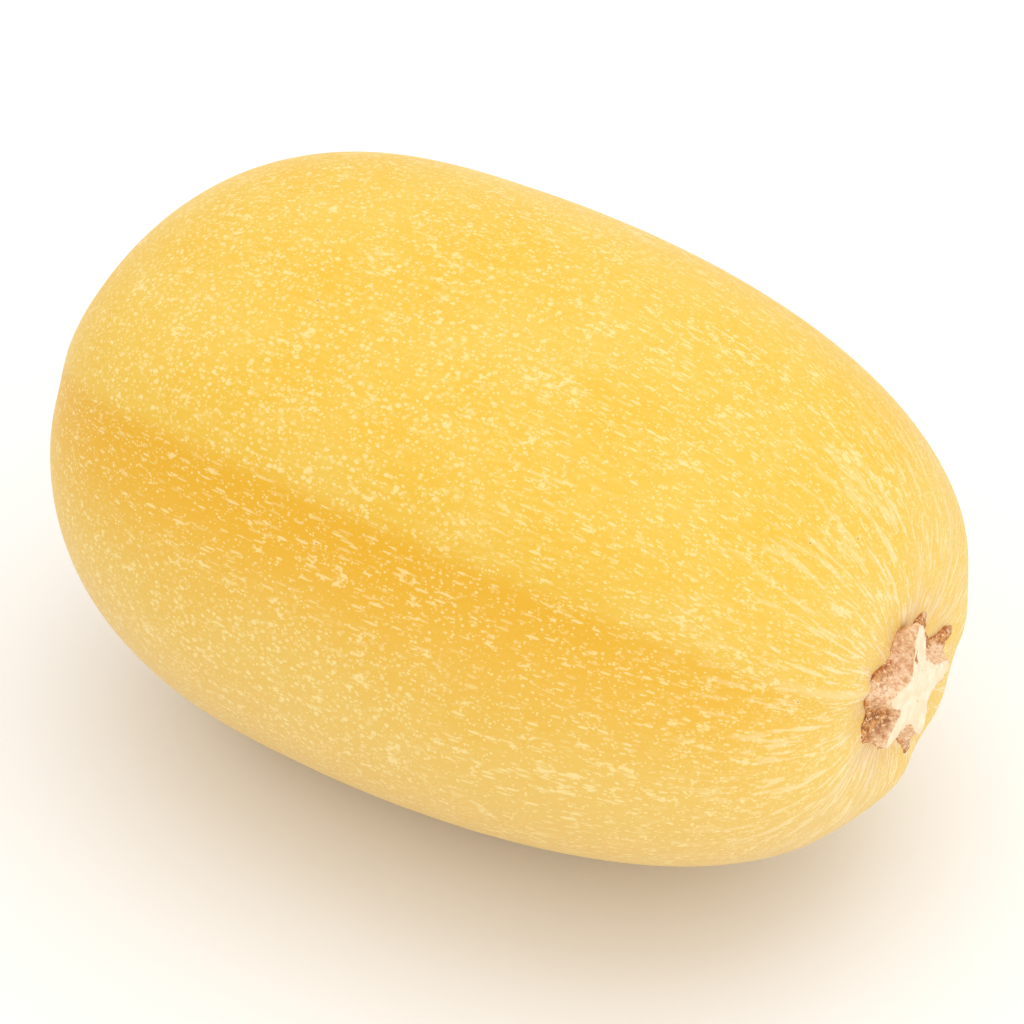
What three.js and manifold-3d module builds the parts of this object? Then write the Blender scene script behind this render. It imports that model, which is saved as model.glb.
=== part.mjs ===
// A whole spaghetti squash lying on its side: the fruit and the cut stub of its stem.
//
// Millimetres. +X runs along the fruit towards the stem, +Z is up, and the fruit rests on z = 0
// with the origin below the middle of the whole object.
// A "turn" is an angle about the fruit's own axis: 0 is straight up and 90 is towards -Y.
import * as THREE from 'three';
import Module from 'manifold-3d';
import { mergeVertices } from 'three/addons/utils/BufferGeometryUtils.js';

// Driving dimensions of the fruit
const BELLY_HALF_WIDTH = 65;
const BELLY_HALF_HEIGHT = 60.5;
const BLOSSOM_END = { length: 88, fullness: 3.1, bluntness: 1.9 };
const STEM_END = { length: 108.5, fullness: 1.9, bluntness: 3.5 };
const RIBS = [
  { turn: 47, height: 1.6, width: 15, swell: 0.3 },
  { turn: -16, height: 2.8, width: 26, swell: 0.9 },
  { turn: -78, height: 0.8, width: 24, swell: 0.4 },
  { turn: -140, height: 1.6, width: 22, swell: 0 },
  { turn: -174, height: 2.4, width: 17, swell: 0.5 },
  { turn: 160, height: 3.6, width: 26, swell: -0.9 },
  { turn: 108, height: 2.6, width: 24, swell: 2 },
];
const STEM_SHIFT = { y: -1, z: -3.7 };
const STEM_DIMPLE = { depth: 4.2, radius: 22 };
const BLOSSOM_SCAR = { depth: 1.2, radius: 5 };
const REST_DEPTH = 1.5;
const FRUIT_SIDES = 72;
const FRUIT_RINGS = 44;

// Driving dimensions of the stem stub
const STEM_LENGTH = 5.6;
const STEM_ROOT = 7;
const NECK_RADIUS = 7;
const FOOT_RADIUS = 10.5;
const RIDGES = [
  { turn: 4, height: 10.5, width: 15 },
  { turn: 64, height: 5, width: 15 },
  { turn: 113, height: 6.2, width: 15 },
  { turn: -168, height: 5.4, width: 18 },
  { turn: -96, height: 5.6, width: 18 },
];
const CUT_SLOPE = 0.05;
const STEM_SIDES = 72;
const STEM_RINGS = 7;
const JOIN_GAP = 0.3;

const wasm = await Module();
wasm.setup();

// Height above the plain surface, at one turn, of crests that run along the axis.
// A crest with a swell is that share higher at the stem end, and lower at the blossom end.
function crestHeight(crests, turn, along = 0) {
  return crests.reduce((sum, { turn: middle, height, width, swell = 0 }) => {
    const away = THREE.MathUtils.euclideanModulo(turn - middle + 180, 360) - 180;
    return sum + height * (1 + swell * along) * Math.exp(-((away / width) ** 2));
  }, 0);
}

// Axial place and radius of the plain revolved fruit, along it from -1 (blossom) to 1 (stem).
// The belly is the widest place, at 0, and its radius here is 1.
function outlinePoint(along) {
  const end = along < 0 ? BLOSSOM_END : STEM_END;
  const full = 1 - Math.abs(along) ** end.fullness;
  return [along * end.length, Math.max(full, 0) ** (1 / end.bluntness)];
}

// A surface of revolution about +X, from (axial, radius) points that start and end on the axis.
function revolveAboutX(profile, sides) {
  const points = profile.map(([axial, radius]) => new THREE.Vector2(radius, axial));
  const geometry = new THREE.LatheGeometry(points, sides);
  geometry.rotateZ(-Math.PI / 2);
  geometry.deleteAttribute('normal');
  geometry.deleteAttribute('uv');
  return mergeVertices(geometry, 1e-4);
}

// Moves each vertex to where reshape(axial, radius, turn) puts it.
function reshapeAboutX(geometry, reshape) {
  const position = geometry.getAttribute('position');
  for (let i = 0; i < position.count; i += 1) {
    const radius = Math.hypot(position.getY(i), position.getZ(i));
    const turn = THREE.MathUtils.radToDeg(Math.atan2(-position.getY(i), position.getZ(i)));
    const moved = reshape(position.getX(i), radius, turn);
    position.setXYZ(i, moved.axial, moved.y, moved.z);
  }
  return geometry;
}

function toSolid(geometry) {
  const vertProperties = Float32Array.from(geometry.getAttribute('position').array);
  const triVerts = Uint32Array.from(geometry.getIndex().array);
  return new wasm.Manifold(new wasm.Mesh({ numProp: 3, vertProperties, triVerts }));
}

function toGeometry(solid) {
  const mesh = solid.getMesh();
  const geometry = new THREE.BufferGeometry();
  geometry.setAttribute('position', new THREE.BufferAttribute(mesh.vertProperties, 3));
  geometry.setIndex(new THREE.BufferAttribute(mesh.triVerts, 1));
  geometry.computeVertexNormals();
  return geometry;
}

// The ribbed fruit, with a dimple that draws the ribs in round the stem and a small blossom scar.
function makeWholeFruit() {
  const profile = [];
  for (let ring = 0; ring <= FRUIT_RINGS; ring += 1) {
    profile.push(outlinePoint(Math.sin(Math.PI * (ring / FRUIT_RINGS - 0.5))));
  }
  return reshapeAboutX(revolveAboutX(profile, FRUIT_SIDES), (axial, share, turn) => {
    const side = THREE.MathUtils.degToRad(turn);
    const belly = Math.hypot(BELLY_HALF_WIDTH * Math.sin(side), BELLY_HALF_HEIGHT * Math.cos(side));
    const along = axial / (axial > 0 ? STEM_END.length : BLOSSOM_END.length);
    const radius = share * (belly + crestHeight(RIBS, turn, along));
    const pit = axial > 0 ? STEM_DIMPLE : BLOSSOM_SCAR;
    const inward = pit.depth * Math.exp(-((radius / pit.radius) ** 2)) * Math.sign(axial);
    const drift = Math.max(along, 0) ** 4;
    return {
      axial: axial - inward,
      y: -radius * Math.sin(side) + STEM_SHIFT.y * drift,
      z: radius * Math.cos(side) + STEM_SHIFT.z * drift,
    };
  });
}

// Cuts the flat spot that the fruit has worn where it lay on the ground.
function cutRestingFlat(solid) {
  const { min, max } = solid.boundingBox();
  const block = new THREE.BoxGeometry(max[0] - min[0], max[1] - min[1], 2 * REST_DEPTH);
  block.deleteAttribute('normal');
  block.deleteAttribute('uv');
  block.translate((min[0] + max[0]) / 2, (min[1] + max[1]) / 2, min[2]);
  return solid.subtract(toSolid(mergeVertices(block, 1e-4)));
}

// A ridged stub that flares to its foot and is cut off nearly square, seated on the fruit.
function makeStem(fruitSolid) {
  const cutPlace = STEM_END.length - STEM_DIMPLE.depth + STEM_LENGTH;
  const height = STEM_LENGTH + STEM_ROOT;
  const profile = [[cutPlace - height, 0]];
  for (let ring = 0; ring <= STEM_RINGS; ring += 1) {
    const up = ring / STEM_RINGS;
    const flare = (1 - up) ** 2;
    profile.push([cutPlace - height * (1 - up), NECK_RADIUS + (FOOT_RADIUS - NECK_RADIUS) * flare]);
  }
  profile.push([cutPlace, 0]);
  const stub = reshapeAboutX(revolveAboutX(profile, STEM_SIDES), (axial, radius, turn) => {
    const side = THREE.MathUtils.degToRad(turn);
    const ridged = radius === 0 ? 0 : radius + crestHeight(RIDGES, turn);
    const up = ridged * Math.cos(side);
    return {
      axial: axial - CUT_SLOPE * up,
      y: -ridged * Math.sin(side) + STEM_SHIFT.y,
      z: up + STEM_SHIFT.z,
    };
  });
  return toSolid(stub).subtract(fruitSolid.translate([JOIN_GAP, 0, 0]));
}

const rind = new THREE.MeshStandardMaterial({ color: 0xe8b84a, roughness: 0.5, metalness: 0 });
const corkyStem = new THREE.MeshStandardMaterial({ color: 0xb98a5c, roughness: 0.85, metalness: 0 });

const wholeFruit = toSolid(makeWholeFruit());

const fruit = new THREE.Mesh(toGeometry(cutRestingFlat(wholeFruit)), rind);
fruit.name = 'fruit';

const stem = new THREE.Mesh(toGeometry(makeStem(wholeFruit)), corkyStem);
stem.name = 'stem';

const squash = new THREE.Group();
squash.add(fruit, stem);

const box = new THREE.Box3().setFromObject(squash);
const middle = box.getCenter(new THREE.Vector3());
squash.position.set(-middle.x, -middle.y, -box.min.z);

export default squash;
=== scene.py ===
import math

import bpy
import numpy as np
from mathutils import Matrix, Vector


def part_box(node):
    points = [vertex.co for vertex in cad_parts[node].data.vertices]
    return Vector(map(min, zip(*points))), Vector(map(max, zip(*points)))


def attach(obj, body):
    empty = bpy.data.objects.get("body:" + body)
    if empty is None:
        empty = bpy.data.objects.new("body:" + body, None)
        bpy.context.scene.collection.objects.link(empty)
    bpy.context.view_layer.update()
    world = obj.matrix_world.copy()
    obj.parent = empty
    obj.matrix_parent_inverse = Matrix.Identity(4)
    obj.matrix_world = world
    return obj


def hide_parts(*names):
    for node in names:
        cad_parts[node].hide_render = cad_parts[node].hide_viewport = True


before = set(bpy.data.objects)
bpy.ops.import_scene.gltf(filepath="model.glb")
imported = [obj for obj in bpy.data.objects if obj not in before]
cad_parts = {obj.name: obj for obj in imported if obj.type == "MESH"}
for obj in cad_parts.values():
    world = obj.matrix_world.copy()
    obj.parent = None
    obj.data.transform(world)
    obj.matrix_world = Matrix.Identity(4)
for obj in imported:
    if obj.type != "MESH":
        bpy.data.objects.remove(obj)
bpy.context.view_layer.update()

# A whole spaghetti squash lying on its side: the rind and the cut stub of its stem, in metres.
# +X runs along the fruit towards the stem and +Z is up. A "turn" is an angle in degrees about
# the fruit's own axis, 0 straight up and 90 towards -Y.

MM = 0.001

# The fruit: two rounded ends that meet at the belly, an oval section, and low ribs along it
BELLY = Vector((-11.56, 0.59, 63.2)) * MM
HALF_WIDTH = 65 * MM
HALF_HEIGHT = 60.5 * MM
BLOSSOM_LENGTH, BLOSSOM_FULLNESS, BLOSSOM_BLUNTNESS = 88 * MM, 3.1, 1.9
STEM_END_LENGTH, STEM_END_FULLNESS, STEM_END_BLUNTNESS = 108.5 * MM, 1.9, 3.5
STEM_SHIFT = Vector((0, -1, -3.7)) * MM
DIMPLE_DEPTH, DIMPLE_RADIUS = 4.2 * MM, 22 * MM
SCAR_DEPTH, SCAR_RADIUS = 1.2 * MM, 5 * MM
RIBS = (  # turn, height, width in degrees, extra share towards the stem
    (47, 1.6 * MM, 15, 0.3),
    (-16, 2.8 * MM, 26, 0.9),
    (-78, 0.8 * MM, 24, 0.4),
    (-140, 1.6 * MM, 22, 0),
    (-174, 2.4 * MM, 17, 0.5),
    (160, 3.6 * MM, 26, -0.9),
    (108, 2.6 * MM, 24, 2),
)
FRUIT_SIDES = 96
FRUIT_RINGS = 60
SMOOTHING = 2

# The deeper yellow band along the flank, in degrees of turn, and the furrow it lies in
BAND_TURN, BAND_DRIFT, BAND_EDGE, BAND_CORE, BAND_FADE = 55, 3, 6, 9, 30
BAND_PLACES = (-1, -0.93, -0.6, 0.2, 0.6, 0.85, 1)
BAND_STRENGTHS = (0, 0.6, 1, 1, 0.8, 0.55, 0.2)
FURROW_TURN, FURROW_DEPTH, FURROW_WIDTH = 66, 1.2 * MM, 9
# The paler underside, partly a paler rind and partly painted reflection of the pale floor: its turn and
# width in degrees
UNDERSIDE_TURN, UNDERSIDE_WIDTH = 140, 48

# Pleats that run out from under the stem over the end of the fruit
MAIN_PLEAT_TURN = 61
PLEATS = (  # turn, height, width in degrees
    (MAIN_PLEAT_TURN, 1.0 * MM, 5),
    (30, 0.5 * MM, 8),
    (-2, 0.7 * MM, 9),
    (-38, 0.6 * MM, 8),
    (-66, 0.5 * MM, 9),
    (-100, 0.7 * MM, 8),
    (-135, 0.6 * MM, 9),
    (-170, 0.8 * MM, 8),
    (140, 0.6 * MM, 8),
    (104, 0.8 * MM, 8),
)
PLEAT_FROM, PLEAT_SPREAD, PLEAT_GAIN = 19 * MM, 15 * MM, 2.0

# Growth coordinates: the pattern narrows towards the poles, but not to nothing
LEAST_SPREAD = 0.35
RAY_RADIUS = 30 * MM
OUTLINE_STEPS = 400

# The stem stub: a five-ridged neck on a spreading foot
STEM_TIP_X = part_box("stem")[1][0]
STEM_HEIGHT = 5.6 * MM
RIDGES = (  # turn, reach at the cut, width in degrees
    (4, 11.2 * MM, 13),
    (64, 5.3 * MM, 15),
    (113, 6.6 * MM, 13),
    (-168, 5.8 * MM, 17),
    (-96, 6 * MM, 17),
)
FOOT_TIPS = (  # turn, reach on the rind, width in degrees
    (-33, 4.4 * MM, 8),
    (7, 3.4 * MM, 8),
    (58, 4.6 * MM, 16),
    (101, 4.6 * MM, 11),
    (148, 1.5 * MM, 12),
    (-168, 10 * MM, 8),
    (-125, 2 * MM, 12),
    (-87, 9 * MM, 8),
)
STEM_LEVELS = (  # height above the rind, radius of the round part, share of it that is foot
    (-1.6, 11.0, 1.0),
    (-0.3, 12.4, 1.0),
    (0.25, 11.6, 0.95),
    (0.8, 10.6, 0.75),
    (1.7, 9.3, 0.45),
    (2.9, 8.1, 0.2),
    (4.2, 7.2, 0.05),
    (5.1, 6.8, 0.0),
    (5.45, 6.6, 0.0),
)
CUT_RING_SHARES = (0.9, 0.7, 0.5, 0.3, 0.12)
CUT_FROM_HEIGHT = 4.9
CRACK_TURN, CRACK_WIDTH, CRACK_RADIUS, CRACK_LENGTH = 9, 2.4, 10, 2.2
CRACK_DEPTH = 0.3 * MM
STEM_SIDES = 120

# The camera and the lights
CAMERA_AZIMUTH, CAMERA_ELEVATION = math.radians(33.6), math.radians(37.5)
CAMERA_LENS, SENSOR_WIDTH, VIEW_WIDTH = 150, 36, 0.21025
CAMERA_AIM = Vector((0, 0, 0.0633))
AIM_RIGHT, AIM_DOWN = 0.0024, 0.0010
SKY_STRENGTH = 1.02
FLOOR_SIZE = 30


def linear(red, green, blue):
    """The shader colour for a colour given in everyday 0-255 screen values."""
    def channel(value):
        share = value / 255
        return share / 12.92 if share <= 0.04045 else ((share + 0.055) / 1.055) ** 2.4
    return channel(red), channel(green), channel(blue), 1


# ---------------------------------------------------------------- modelling


def start_clean():
    """Leaves object mode with nothing selected, so that an operator acts on its own piece only."""
    if bpy.context.mode != "OBJECT":
        bpy.ops.object.mode_set(mode="OBJECT")
    bpy.ops.object.select_all(action="DESELECT")


def select_only(piece):
    start_clean()
    piece.select_set(True)
    bpy.context.view_layer.objects.active = piece


def shade_smooth(piece, degrees):
    select_only(piece)
    bpy.ops.object.shade_smooth_by_angle(angle=math.radians(degrees))


def apply_modifiers(piece):
    select_only(piece)
    for modifier in list(piece.modifiers):
        bpy.ops.object.modifier_apply(modifier=modifier.name)


def coordinates(piece):
    places = np.empty(len(piece.data.vertices) * 3)
    piece.data.vertices.foreach_get("co", places)
    return places.reshape(-1, 3)


def vertex_normals(piece):
    normals = np.empty(len(piece.data.vertices) * 3)
    piece.data.vertices.foreach_get("normal", normals)
    return normals.reshape(-1, 3)


def weight_group(piece, name, weights):
    """A vertex group that holds the given weight, 0 to 1, for each vertex."""
    group = piece.vertex_groups.new(name=name)
    for index, weight in enumerate(weights):
        if weight > 1e-4:
            group.add([index], min(float(weight), 1), "REPLACE")
    return group.name


def push_out(piece, name, weights, height, texture=None, mid=0.0):
    """Raises the surface along its normals, by a height times the weights."""
    displace = piece.modifiers.new(name, "DISPLACE")
    displace.vertex_group = weight_group(piece, name, weights)
    displace.strength = height
    displace.mid_level = mid
    if texture is not None:
        displace.texture = texture
        displace.texture_coords = "LOCAL"


def crest(turns, middle, width):
    """How near each turn is to a crest's middle: 1 there, falling off on both sides."""
    away = (turns - middle + 180) % 360 - 180
    return np.exp(-((away / width) ** 2))


def fruit_outline(along):
    """Place along the axis and share of the belly radius, for -1 (blossom) to 1 (stem)."""
    if along < 0:
        length, fullness, bluntness = BLOSSOM_LENGTH, BLOSSOM_FULLNESS, BLOSSOM_BLUNTNESS
        pit_depth, pit_radius = -SCAR_DEPTH, SCAR_RADIUS
    else:
        length, fullness, bluntness = STEM_END_LENGTH, STEM_END_FULLNESS, STEM_END_BLUNTNESS
        pit_depth, pit_radius = DIMPLE_DEPTH, DIMPLE_RADIUS
    share = max(1 - abs(along) ** fullness, 0) ** (1 / bluntness)
    pit = pit_depth * math.exp(-((share * HALF_WIDTH / pit_radius) ** 2))
    return along * length - pit, share


def fruit_rings():
    """Centre and share of the belly radius of each ring, evenly spread over the skin."""
    for ring in range(1, FRUIT_RINGS):
        along = math.sin(math.pi * (ring / FRUIT_RINGS - 0.5))
        axial, share = fruit_outline(along)
        centre = BELLY + Vector((axial, 0, 0)) + STEM_SHIFT * max(along, 0) ** 4
        yield centre, share


def axis_coordinates(places):
    """Share of the way along the axis (-1 to 1), turn, and distance from the axis, of places."""
    axial = places[:, 0] - BELLY.x
    along = np.where(axial < 0, axial / BLOSSOM_LENGTH, axial / STEM_END_LENGTH)
    along = np.clip(along, -1, 1)
    drift = np.clip(along, 0, 1) ** 4
    y = places[:, 1] - BELLY.y - STEM_SHIFT.y * drift
    z = places[:, 2] - BELLY.z - STEM_SHIFT.z * drift
    return along, np.degrees(np.arctan2(-y, z)), np.hypot(y, z)


def extrude_fruit():
    """A ring is extruded along the axis and resized to the outline, then both ends are closed."""
    start_clean()
    rings = list(fruit_rings())
    centre, share = rings[0]
    bpy.ops.mesh.primitive_circle_add(vertices=FRUIT_SIDES, radius=share,
                                      rotation=(0, math.pi / 2, 0))
    fruit = bpy.context.object
    fruit.name = fruit.data.name = "squash_rind"
    bpy.ops.object.transform_apply(location=True, rotation=True, scale=True)
    bpy.ops.object.mode_set(mode="EDIT")
    bpy.ops.mesh.select_all(action="SELECT")
    bpy.ops.transform.resize(value=(1, HALF_WIDTH, HALF_HEIGHT))
    bpy.ops.transform.translate(value=centre)
    bpy.ops.mesh.edge_face_add()
    for next_centre, next_share in rings[1:]:
        bpy.ops.mesh.extrude_region_move(TRANSFORM_OT_translate={"value": next_centre - centre})
        growth = next_share / share
        bpy.ops.transform.resize(value=(1, growth, growth))
        centre, share = next_centre, next_share
    bpy.ops.object.mode_set(mode="OBJECT")
    close_ends(fruit)
    return fruit


def close_ends(fruit):
    """Turns the two end faces into fans of triangles round a pole."""
    start_clean()
    bpy.context.view_layer.objects.active = fruit
    bpy.ops.object.mode_set(mode="EDIT")
    bpy.ops.mesh.select_mode(type="FACE")
    bpy.ops.mesh.select_all(action="DESELECT")
    bpy.ops.mesh.select_face_by_sides(number=FRUIT_SIDES, type="EQUAL", extend=False)
    bpy.ops.mesh.poke()
    bpy.ops.mesh.select_all(action="SELECT")
    bpy.ops.mesh.normals_make_consistent(inside=False)
    bpy.ops.object.mode_set(mode="OBJECT")


def facing_out(fruit, turn):
    """How squarely the skin faces away from the axis: 1 on the belly, 0 at the two poles."""
    normals = vertex_normals(fruit)
    angle = np.radians(turn)
    return np.clip(-normals[:, 1] * np.sin(angle) + normals[:, 2] * np.cos(angle), 0, 1)


def raise_ribs(fruit):
    along, turn, radius = axis_coordinates(coordinates(fruit))
    share = np.clip(radius / HALF_HEIGHT, 0, 1) * facing_out(fruit, turn)
    for number, (middle, height, width, swell) in enumerate(RIBS):
        full = 1 + abs(swell)
        weights = crest(turn, middle, width) * share * (1 + swell * along) / full
        push_out(fruit, f"rib_{number}", weights, height * full)
    furrow = crest(turn, FURROW_TURN, FURROW_WIDTH) * np.clip(1 - np.abs(along) ** 3, 0, 1)
    push_out(fruit, "furrow", furrow, -FURROW_DEPTH)
    falloff = np.exp(-(((radius - PLEAT_FROM) / PLEAT_SPREAD) ** 2))
    near_stem = PLEAT_GAIN * falloff * (along > 0.5)
    for number, (middle, height, width) in enumerate(PLEATS):
        push_out(fruit, f"pleat_{number}", crest(turn, middle, width) * near_stem, height)
    apply_modifiers(fruit)


def smooth_by_subdivision(piece, levels):
    subdivision = piece.modifiers.new("smooth", "SUBSURF")
    subdivision.levels = subdivision.render_levels = levels
    apply_modifiers(piece)


def flatten_ground_spot(fruit):
    """Cuts the fruit level where it lay on the ground, and closes the cut."""
    start_clean()
    bpy.context.view_layer.objects.active = fruit
    bpy.ops.object.mode_set(mode="EDIT")
    bpy.ops.mesh.select_all(action="SELECT")
    bpy.ops.mesh.bisect(plane_co=(0, 0, 0), plane_no=(0, 0, 1), clear_inner=True, use_fill=True,
                        threshold=1e-7)
    bpy.ops.object.mode_set(mode="OBJECT")


def lumps(name, size):
    texture = bpy.data.textures.new(name, "CLOUDS")
    texture.noise_scale = size
    texture.noise_depth = 1
    return texture


def store(piece, name, values, kind="FLOAT"):
    attribute = piece.data.attributes.new(name, kind, "POINT")
    field = "vector" if kind == "FLOAT_VECTOR" else "value"
    attribute.data.foreach_set(field, np.ascontiguousarray(values, dtype=np.float32).ravel())


def smooth_rise(values):
    values = np.clip(values, 0, 1)
    return values * values * (3 - 2 * values)


def band_depth(along, turn):
    """The deeper yellow band below the main rib: a sharp upper edge and a slow fade down the flank."""
    upper = BAND_TURN + BAND_DRIFT * np.clip(along, 0, 1)
    rise = smooth_rise((turn - upper) / BAND_EDGE)
    fall = smooth_rise((turn - upper - BAND_CORE) / BAND_FADE)
    return rise * (1 - fall) * np.interp(along, BAND_PLACES, BAND_STRENGTHS)


def skin_distance(axial, along, radius):
    """How far each place is from the belly along the skin, and the same for the outline's steps."""
    half = OUTLINE_STEPS // 2
    line = np.array([fruit_outline(step) for step in np.linspace(-1, 1, OUTLINE_STEPS)])
    line[:, 1] *= HALF_WIDTH
    run = np.concatenate(([0], np.cumsum(np.hypot(*np.diff(line, axis=0).T))))
    run -= run[np.argmax(line[:, 1])]
    # by place along the axis on the belly, and by distance from the axis at the two blunt ends
    order = np.argsort(line[:, 0])
    skin_run = np.interp(axial, line[order, 0], run[order])
    stem_run = np.interp(-radius, -line[half:, 1], run[half:])
    blend = np.clip((along - 0.55) / 0.3, 0, 1)
    skin_run = skin_run * (1 - blend) + stem_run * blend
    blossom_run = np.interp(radius, line[:half, 1], run[:half])
    blend = np.clip((-along - 0.7) / 0.25, 0, 1)
    return skin_run * (1 - blend) + blossom_run * blend, run


def round_axis(radius, turn, skin_run):
    """Coordinates in millimetres that go round at a radius and run along the skin."""
    angle = np.radians(turn)
    return np.stack((-radius * np.sin(angle), radius * np.cos(angle), skin_run), axis=1) / MM


def store_growth(fruit):
    """Lays growth coordinates over the rind, in millimetres, and marks its bands and ends."""
    along, turn, radius = axis_coordinates(coordinates(fruit))
    axial = coordinates(fruit)[:, 0] - BELLY.x
    skin_run, run = skin_distance(axial, along, radius)
    share = np.clip(radius / HALF_WIDTH, 0, 1)
    spread = HALF_WIDTH * (LEAST_SPREAD + (1 - LEAST_SPREAD) * share)
    store(fruit, "growth", round_axis(spread, turn, skin_run), "FLOAT_VECTOR")
    store(fruit, "meridian", round_axis(RAY_RADIUS, turn, skin_run), "FLOAT_VECTOR")
    blossom_half = 0.7 * np.clip((-along - 0.5) / 0.42, 0, 1)
    stem_half = np.clip((along - 0.12) / 0.55, 0, 1)
    store(fruit, "end", np.maximum(blossom_half, stem_half))
    away = np.hypot(radius, np.clip(STEM_END_LENGTH - DIMPLE_DEPTH - axial, 0, 1)) / MM
    store(fruit, "from_stem", np.where(along > 0, away, 200))
    store(fruit, "band", band_depth(along, turn))
    # the underside is painted paler: partly a paler rind, partly painted reflection of the floor
    store(fruit, "underside_pallor_and_reflection", crest(turn, UNDERSIDE_TURN, UNDERSIDE_WIDTH))
    main_pleat = crest(turn, MAIN_PLEAT_TURN, 1.8) * smooth_rise((along - 0.84) / 0.14)
    store(fruit, "main_pleat", main_pleat)
    return turn, skin_run, run


def unwrap_round(fruit, turn, skin_run, run):
    """Lays the rind out flat, once round by once along, for baking its finish."""
    layer = fruit.data.uv_layers.new(name="OFBake")
    mesh = fruit.data
    corners = np.empty(len(mesh.loops), dtype=np.int64)
    mesh.loops.foreach_get("vertex_index", corners)
    sides = [face.loop_total for face in mesh.polygons]
    face_of = np.repeat(np.arange(len(sides)), sides)
    u = turn[corners] / 360 + 0.5
    high = np.zeros(len(mesh.polygons))
    np.maximum.at(high, face_of, u)
    u = np.where((high[face_of] - u) > 0.5, u + 1, u)
    u = u * 0.98
    v = (skin_run[corners] - run[0]) / (run[-1] - run[0])
    layer.data.foreach_set("uv", np.stack((u, v), axis=1).astype(np.float32).ravel())


def make_fruit():
    fruit = extrude_fruit()
    raise_ribs(fruit)
    smooth_by_subdivision(fruit, SMOOTHING)
    flatten_ground_spot(fruit)
    turn, skin_run, run = store_growth(fruit)
    unwrap_round(fruit, turn, skin_run, run)
    shade_smooth(fruit, 40)
    fruit.data.materials.append(rind_finish())
    return fruit


def extrude_stem(axis):
    """A ring is extruded up from under the rind to the cut, and the cut is filled with inner rings."""
    start_clean()
    height, radius, _ = STEM_LEVELS[0]
    bpy.ops.mesh.primitive_circle_add(vertices=STEM_SIDES, radius=radius * MM,
                                      rotation=(0, math.pi / 2, 0))
    stem = bpy.context.object
    stem.name = stem.data.name = "cut_stem"
    bpy.ops.object.transform_apply(location=True, rotation=True, scale=True)
    bpy.ops.object.mode_set(mode="EDIT")
    bpy.ops.mesh.select_all(action="SELECT")
    bpy.ops.transform.translate(value=axis + Vector((height * MM, 0, 0)))
    bpy.ops.mesh.edge_face_add()
    top = STEM_LEVELS[-1]
    inner = [(top[0], top[1] * share, 0) for share in CUT_RING_SHARES]
    for next_height, next_radius, _ in (*STEM_LEVELS[1:], *inner):
        rise = (next_height - height) * MM
        bpy.ops.mesh.extrude_region_move(TRANSFORM_OT_translate={"value": (rise, 0, 0)})
        growth = next_radius / radius
        bpy.ops.transform.resize(value=(1, growth, growth))
        height, radius = next_height, next_radius
    bpy.ops.mesh.select_all(action="SELECT")
    bpy.ops.mesh.normals_make_consistent(inside=False)
    bpy.ops.object.mode_set(mode="OBJECT")
    return stem


def rind_rise(radius):
    """How far the dimpled rind stands above its lowest place under the stem, at a radius."""
    steps = [fruit_outline(1 - step / 200) for step in range(60)]
    shares = [share * HALF_HEIGHT for _, share in steps]
    places = [axial for axial, _ in steps]
    return np.interp(radius, shares, places) - places[0]


def draw_out_ridges(stem, axis):
    """Moves each vertex out by the ridges at its turn, and lays the foot on the dimpled rind."""
    places = coordinates(stem)
    height = (places[:, 0] - axis.x) / MM
    y = places[:, 1] - axis.y
    z = places[:, 2] - axis.z
    turn = np.degrees(np.arctan2(-y, z))
    radius = np.hypot(y, z)
    heights, radii, foots = (list(column) for column in zip(*STEM_LEVELS))
    inward = radius / MM / np.interp(height, heights, radii)
    foot = np.interp(height, heights, foots)
    reach = sum(crest(turn, middle, width) * out for middle, out, width in RIDGES) * (1 - foot)
    reach += sum(crest(turn, middle, width) * out for middle, out, width in FOOT_TIPS) * foot
    ridged = radius + reach * inward
    places[:, 0] += rind_rise(ridged) * foot
    places[:, 1] = axis.y - ridged * np.sin(np.radians(turn))
    places[:, 2] = axis.z + ridged * np.cos(np.radians(turn))
    stem.data.vertices.foreach_set("co", places.ravel())
    stem.data.update()


def make_stem():
    axis = BELLY + STEM_SHIFT
    axis.x = STEM_TIP_X - STEM_HEIGHT
    stem = extrude_stem(axis)
    draw_out_ridges(stem, axis)
    smooth_by_subdivision(stem, SMOOTHING)
    places = coordinates(stem)
    height = (places[:, 0] - axis.x) / MM
    level = np.clip((vertex_normals(stem)[:, 0] - 0.5) / 0.3, 0, 1)
    cut = np.clip((height - CUT_FROM_HEIGHT) / 0.3, 0, 1) * level
    side = 1 - cut
    push_out(stem, "cork_lumps", side, 1.1 * MM, lumps("cork_lumps", 2.6 * MM), 0.5)
    push_out(stem, "cork_grain", side, 0.5 * MM, lumps("cork_grain", 0.8 * MM), 0.5)
    turn = np.degrees(np.arctan2(axis.y - places[:, 1], places[:, 2] - axis.z))
    radius = np.hypot(places[:, 1] - axis.y, places[:, 2] - axis.z) / MM
    wandering = turn + 2 * np.sin(radius * 1.7)
    crack = crest(wandering, CRACK_TURN, CRACK_WIDTH) * crest(radius, CRACK_RADIUS, CRACK_LENGTH) * cut
    push_out(stem, "crack_sink", crack, -CRACK_DEPTH)
    push_out(stem, "cut_tears", cut, 0.35 * MM, lumps("cut_tears", 2.2 * MM), 1.0)
    apply_modifiers(stem)
    store(stem, "cut", cut)
    store(stem, "height", height)
    store(stem, "crack", crack)
    hollows = crest(turn, 90, 17) + 0.7 * crest(turn, -16, 12)
    store(stem, "dark", np.clip(hollows, 0, 1) * side)
    shade_smooth(stem, 50)
    stem.data.materials.append(cork_finish())
    return stem


# ---------------------------------------------------------------- finishes


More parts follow.
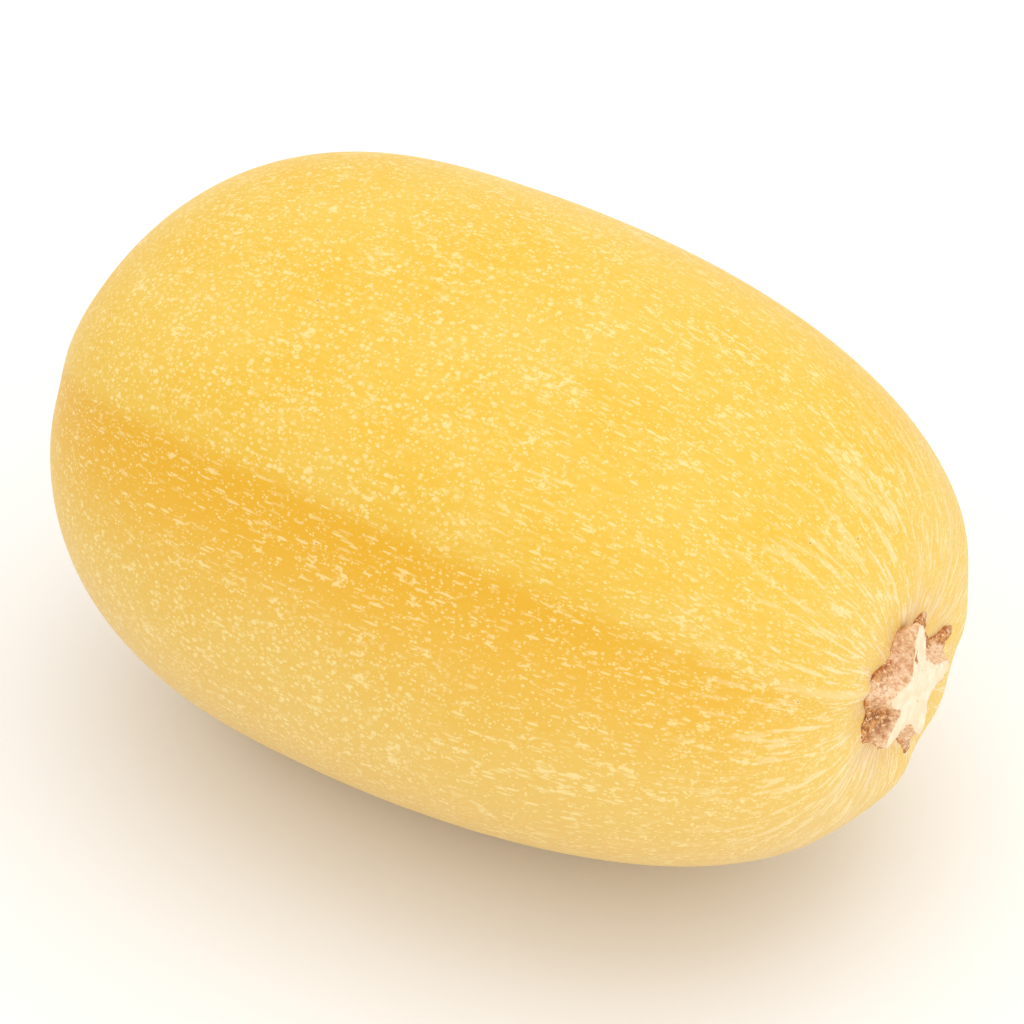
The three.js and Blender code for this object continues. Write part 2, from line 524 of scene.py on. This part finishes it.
class Finish:
    """A material, with short ways to add and join its nodes."""

    def __init__(self, name):
        self.material = bpy.data.materials.new(name)
        self.material.use_nodes = True
        self.tree = self.material.node_tree
        self.shader = self.tree.nodes["Principled BSDF"]

    def add(self, kind, settings=None, **inputs):
        node = self.tree.nodes.new("ShaderNode" + kind)
        for key, value in (settings or {}).items():
            setattr(node, key, value)
        for key, value in inputs.items():
            self.feed(node.inputs[key.replace("_", " ")], value)
        return node

    def feed(self, socket, value):
        if isinstance(value, bpy.types.NodeSocket):
            self.tree.links.new(value, socket)
        else:
            socket.default_value = value

    def measure(self, name):
        """A number that the mesh stores for each vertex."""
        return self.add("Attribute", {"attribute_name": name}).outputs["Fac"]

    def place(self, name):
        """A set of coordinates that the mesh stores for each vertex."""
        return self.add("Attribute", {"attribute_name": name}).outputs["Vector"]

    def math(self, operation, first, second=0.0, clamp=False):
        node = self.add("Math", {"operation": operation, "use_clamp": clamp})
        self.feed(node.inputs[0], first)
        self.feed(node.inputs[1], second)
        return node.outputs[0]

    def step(self, value, low, high, out_low=0.0, out_high=1.0):
        """A smooth step from one output to the other, as the value goes from low to high."""
        node = self.add("MapRange", {"interpolation_type": "SMOOTHSTEP"}, Value=value)
        node.inputs["From Min"].default_value = low
        node.inputs["From Max"].default_value = high
        self.feed(node.inputs["To Min"], out_low)
        self.feed(node.inputs["To Max"], out_high)
        return node.outputs["Result"]

    def stretch(self, vector, scale, shift=(0, 0, 0)):
        node = self.add("Mapping", Vector=vector, Scale=scale, Location=shift)
        return node.outputs["Vector"]

    def noise(self, vector, scale, detail=2.0, roughness=0.5):
        node = self.add("TexNoise", Vector=vector, Scale=scale, Detail=detail, Roughness=roughness)
        return node.outputs["Fac"]

    def blend(self, amount, under, over):
        node = self.add("Mix", {"data_type": "RGBA"})
        self.feed(node.inputs[0], amount)
        self.feed(node.inputs[6], under)
        self.feed(node.inputs[7], over)
        return node.outputs[2]

    def choose(self, amount, first, second):
        node = self.add("Mix", {"data_type": "FLOAT"})
        self.feed(node.inputs[0], amount)
        self.feed(node.inputs[2], first)
        self.feed(node.inputs[3], second)
        return node.outputs[0]


def ragged(finish, vector, amount, scale):
    """The coordinates, pushed about a little so that what is drawn on them gets a ragged edge."""
    wobble = finish.add("TexNoise", Vector=vector, Scale=scale, Detail=2.0)
    centred = finish.add("VectorMath", {"operation": "SUBTRACT"})
    finish.feed(centred.inputs[0], wobble.outputs["Color"])
    centred.inputs[1].default_value = (0.5, 0.5, 0.5)
    scaled = finish.add("VectorMath", {"operation": "SCALE"}, Scale=amount)
    finish.feed(scaled.inputs[0], centred.outputs[0])
    moved = finish.add("VectorMath", {"operation": "ADD"})
    finish.feed(moved.inputs[0], vector)
    finish.feed(moved.inputs[1], scaled.outputs[0])
    return moved.outputs[0]


def freckles(finish, vector, size, share, soft=0.06):
    """Dots of random size and paleness in the cells of a loose net; share is how many cells have one."""
    cells = finish.add("TexVoronoi", Vector=vector, Scale=1.0)
    parts = finish.add("SeparateColor", Color=cells.outputs["Color"])
    radius = finish.step(parts.outputs["Red"], 0, 1, size * 0.3, size)
    present = finish.math("LESS_THAN", parts.outputs["Green"], share)
    radius = finish.math("MULTIPLY", radius, present)
    edge = finish.math("SUBTRACT", radius, cells.outputs["Distance"])
    paleness = finish.step(parts.outputs["Blue"], 0, 1, 0.35, 1.0)
    return finish.math("MULTIPLY", finish.step(edge, -soft * 0.3, soft), paleness)


def rind_ground(finish, growth, band, from_stem, stem_streak):
    """Broad cloudy gold, deeper in the band below the main rib, paler round the stem, and paler below:
    partly a paler rind and partly painted reflection of the pale floor.
    """
    broad = finish.noise(growth, 0.035, 2.0)
    fine_streak = finish.noise(finish.stretch(growth, (1, 1, 0.16)), 0.9, 4.0, 0.6)
    ground = finish.blend(finish.step(broad, 0.3, 0.7), linear(232, 186, 58), linear(233, 192, 78))
    ground = finish.blend(finish.step(fine_streak, 0.42, 0.72, 0.0, 0.4), ground, linear(236, 202, 104))
    band_amount = finish.math("MULTIPLY", band, 0.9, True)
    ground = finish.blend(band_amount, ground, linear(230, 171, 10))
    # Painted reflection of the pale floor on the underside, together with a paler rind there
    underside_pallor_and_reflection = finish.math("MULTIPLY", finish.measure("underside_pallor_and_reflection"), 0.85)
    ground = finish.blend(underside_pallor_and_reflection, ground, linear(228, 192, 126))
    collar = finish.step(from_stem, 14, 50, 0.6, 0.0)
    ground = finish.blend(collar, ground, linear(240, 205, 112))
    near_foot = finish.step(from_stem, 13, 25, 1.0, 0.0)
    blush = finish.math("MULTIPLY", near_foot, finish.step(stem_streak, 0.4, 0.6))
    ground = finish.blend(blush, ground, linear(228, 182, 132))
    return ground


def rind_freckles(finish, growth, band):
    """Round dots on the belly, drawn out into dashes in the band and towards both ends."""
    end = finish.measure("end")
    drawn_out = finish.math("MAXIMUM", end, finish.math("MULTIPLY", band, 0.8))
    round_net = ragged(finish, finish.stretch(growth, (0.9, 0.9, 0.72)), 0.45, 2.4)
    small_net = ragged(finish, finish.stretch(growth, (1.6, 1.6, 1.25), (7, 3, 5)), 0.4, 1.5)
    long_net = ragged(finish, finish.stretch(growth, (1.35, 1.35, 0.25), (3, 9, 1)), 0.4, 2.0)
    round_dots = freckles(finish, round_net, 0.5, 0.8)
    small_dots = freckles(finish, small_net, 0.5, 0.55)
    long_dots = freckles(finish, long_net, 0.46, 0.7)
    dots = finish.choose(finish.step(drawn_out, 0.25, 0.6), round_dots, long_dots)
    return finish.math("MAXIMUM", dots, small_dots)


def rind_clusters(finish, growth):
    """Ragged pale clusters, scattered over all of it."""
    cluster_shape = finish.noise(finish.stretch(growth, (1.1, 1.1, 0.6)), 0.55, 5.0, 0.7)
    cluster_place = finish.math("MULTIPLY", finish.noise(growth, 0.11, 2.0), 0.45)
    return finish.step(finish.math("ADD", cluster_shape, cluster_place), 0.84, 0.885)


def stem_rays(finish, from_stem, stem_streak):
    """Pale streaks that run together at the stem, and the main pleat among them."""
    ray_amount = finish.step(from_stem, 14, 68, 0.9, 0.0)
    rays = finish.math("MULTIPLY", finish.step(stem_streak, 0.52, 0.62), ray_amount)
    main_pleat = finish.math("MULTIPLY", finish.measure("main_pleat"), 0.5)
    return finish.math("MAXIMUM", rays, main_pleat)


def add_pits(finish, growth, colour):
    """Tiny pits with a pale rim."""
    net = finish.stretch(growth, (0.085, 0.085, 0.085), (2, 5, 8))
    away = finish.add("TexVoronoi", Vector=net, Scale=1.0).outputs["Distance"]
    colour = finish.blend(finish.step(away, 0.03, 0.05, 0.5, 0.0), colour, linear(238, 210, 150))
    return finish.blend(finish.step(away, 0.014, 0.026, 0.75, 0.0), colour, linear(180, 118, 56))


def rind_finish():
    finish = Finish("golden_rind")
    growth = finish.place("growth")
    band = finish.measure("band")
    from_stem = finish.measure("from_stem")
    meridian = finish.stretch(finish.place("meridian"), (1, 1, 0.12), (4, 2, 7))
    stem_streak = finish.noise(meridian, 1.05, 3.0, 0.6)
    colour = rind_ground(finish, growth, band, from_stem, stem_streak)
    pale = finish.math("MAXIMUM", rind_freckles(finish, growth, band), rind_clusters(finish, growth))
    colour = finish.blend(finish.math("MULTIPLY", pale, 0.62), colour, linear(245, 226, 162))
    rays = stem_rays(finish, from_stem, stem_streak)
    colour = finish.blend(finish.math("MULTIPLY", rays, 0.78), colour, linear(247, 230, 184))
    colour = add_pits(finish, growth, colour)
    shader = finish.shader
    finish.feed(shader.inputs["Base Color"], colour)
    sheen_break = finish.noise(growth, 1.6, 3.0)
    finish.feed(shader.inputs["Roughness"], finish.step(sheen_break, 0.3, 0.7, 0.40, 0.52))
    shader.inputs["Specular IOR Level"].default_value = 0.25
    shader.inputs["Subsurface Weight"].default_value = 0.12
    shader.inputs["Subsurface Radius"].default_value = (1.0, 0.5, 0.15)
    shader.inputs["Subsurface Scale"].default_value = 0.003
    bump = finish.add("Bump", Strength=0.12, Distance=0.0003, Height=sheen_break)
    finish.feed(shader.inputs["Normal"], bump.outputs["Normal"])
    return finish.material


def cork_finish():
    """Dry brown cork with pale specks on the sides, and a pale pithy cut."""
    finish = Finish("stem_cork")
    place = finish.add("TexCoord").outputs["Object"]
    cut = finish.measure("cut")
    dark = finish.measure("dark")
    height = finish.measure("height")
    mottle = finish.noise(place, 900, 4.0, 0.7)
    patch = finish.noise(place, 190, 3.0)
    speck = finish.noise(finish.stretch(place, (1, 1, 1), (3, 1, 2)), 1700, 2.0)
    brown = finish.blend(finish.step(mottle, 0.38, 0.62), linear(162, 90, 34), linear(222, 162, 100))
    pink = finish.blend(finish.step(mottle, 0.3, 0.72), linear(220, 164, 114), linear(250, 222, 188))
    rise = finish.math("ADD", height, finish.step(patch, 0.3, 0.7, -1.3, 1.3))
    side = finish.blend(finish.step(rise, 1.0, 3.2), brown, pink)
    foot = finish.math("ADD", height, finish.step(patch, 0.3, 0.7, -0.8, 0.8))
    side = finish.blend(finish.step(foot, 1.6, 0.3, 0.0, 0.8), side, linear(188, 106, 46))
    hollow = finish.math("MULTIPLY", dark, finish.step(rise, 3.2, 5.4, 0.9, 0.2))
    fibre = finish.blend(finish.step(mottle, 0.42, 0.6), linear(146, 80, 24), linear(218, 152, 78))
    side = finish.blend(hollow, side, fibre)
    side = finish.blend(finish.step(speck, 0.57, 0.64, 0.0, 0.75), side, linear(248, 222, 180))
    side = finish.blend(finish.step(speck, 0.4, 0.34, 0.0, 0.5), side, linear(182, 110, 58))
    pith = finish.noise(place, 420, 4.0, 0.6)
    face = finish.blend(finish.step(pith, 0.35, 0.7), linear(246, 222, 184), linear(254, 238, 210))
    pore = finish.noise(place, 700, 3.0, 0.6)
    face = finish.blend(finish.step(pore, 0.66, 0.72, 0.0, 0.75), face, linear(196, 148, 92))
    crack = finish.measure("crack")
    face = finish.blend(finish.step(crack, 0.3, 0.7), face, linear(190, 130, 70))
    colour = finish.blend(cut, side, face)
    shader = finish.shader
    finish.feed(shader.inputs["Base Color"], colour)
    finish.feed(shader.inputs["Roughness"], finish.step(mottle, 0.3, 0.7, 0.7, 0.88))
    bump = finish.add("Bump", Strength=0.45, Distance=0.0004, Height=mottle)
    finish.feed(shader.inputs["Normal"], bump.outputs["Normal"])
    return finish.material


def floor_finish():
    finish = Finish("pale_floor")
    finish.shader.inputs["Base Color"].default_value = linear(245, 244, 242)
    finish.shader.inputs["Roughness"].default_value = 0.9
    return finish.material


# ---------------------------------------------------------------- studio


def make_floor():
    start_clean()
    bpy.ops.mesh.primitive_plane_add(size=FLOOR_SIZE, location=(0, 0, 0))
    floor = bpy.context.object
    floor.name = floor.data.name = "floor"
    floor.data.materials.append(floor_finish())


def soft_light(name, place, aim, size, power):
    data = bpy.data.lights.new(name, "AREA")
    data.size = size
    data.energy = power
    light = bpy.data.objects.new(name, data)
    light.location = place
    light.rotation_euler = (Vector(aim) - Vector(place)).to_track_quat("-Z", "Y").to_euler()
    bpy.context.collection.objects.link(light)


def make_lights():
    world = bpy.data.worlds.new("studio")
    world.use_nodes = True
    background = world.node_tree.nodes["Background"]
    background.inputs["Color"].default_value = (1, 1, 1, 1)
    background.inputs["Strength"].default_value = SKY_STRENGTH
    bpy.context.scene.world = world
    soft_light("overhead", (0.1, 0.1, 1.0), (0, 0, 0.06), 0.9, 2.2)
    soft_light("front_fill", (0.95, -0.6, 0.35), (0.03, 0, 0.05), 1.0, 1.5)
    bpy.context.scene.view_settings.view_transform = "Standard"


def make_camera():
    across = Vector((math.sin(CAMERA_AZIMUTH), -math.cos(CAMERA_AZIMUTH), 0))
    right = Vector((math.cos(CAMERA_AZIMUTH), math.sin(CAMERA_AZIMUTH), 0))
    back = across * math.cos(CAMERA_ELEVATION) + Vector((0, 0, math.sin(CAMERA_ELEVATION)))
    up = back.cross(right)
    data = bpy.data.cameras.new("camera")
    data.lens = CAMERA_LENS
    data.sensor_width = SENSOR_WIDTH
    aim = CAMERA_AIM + right * AIM_RIGHT - up * AIM_DOWN
    camera = bpy.data.objects.new("camera", data)
    camera.location = aim + back * VIEW_WIDTH * CAMERA_LENS / SENSOR_WIDTH
    camera.rotation_euler = (-back).to_track_quat("-Z", "Y").to_euler()
    bpy.context.collection.objects.link(camera)
    bpy.context.scene.camera = camera


make_camera()
squash_rind = make_fruit()
cut_stem = make_stem()
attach(squash_rind, "root")
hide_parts("fruit")
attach(cut_stem, "root")
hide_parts("stem")
make_floor()
make_lights()
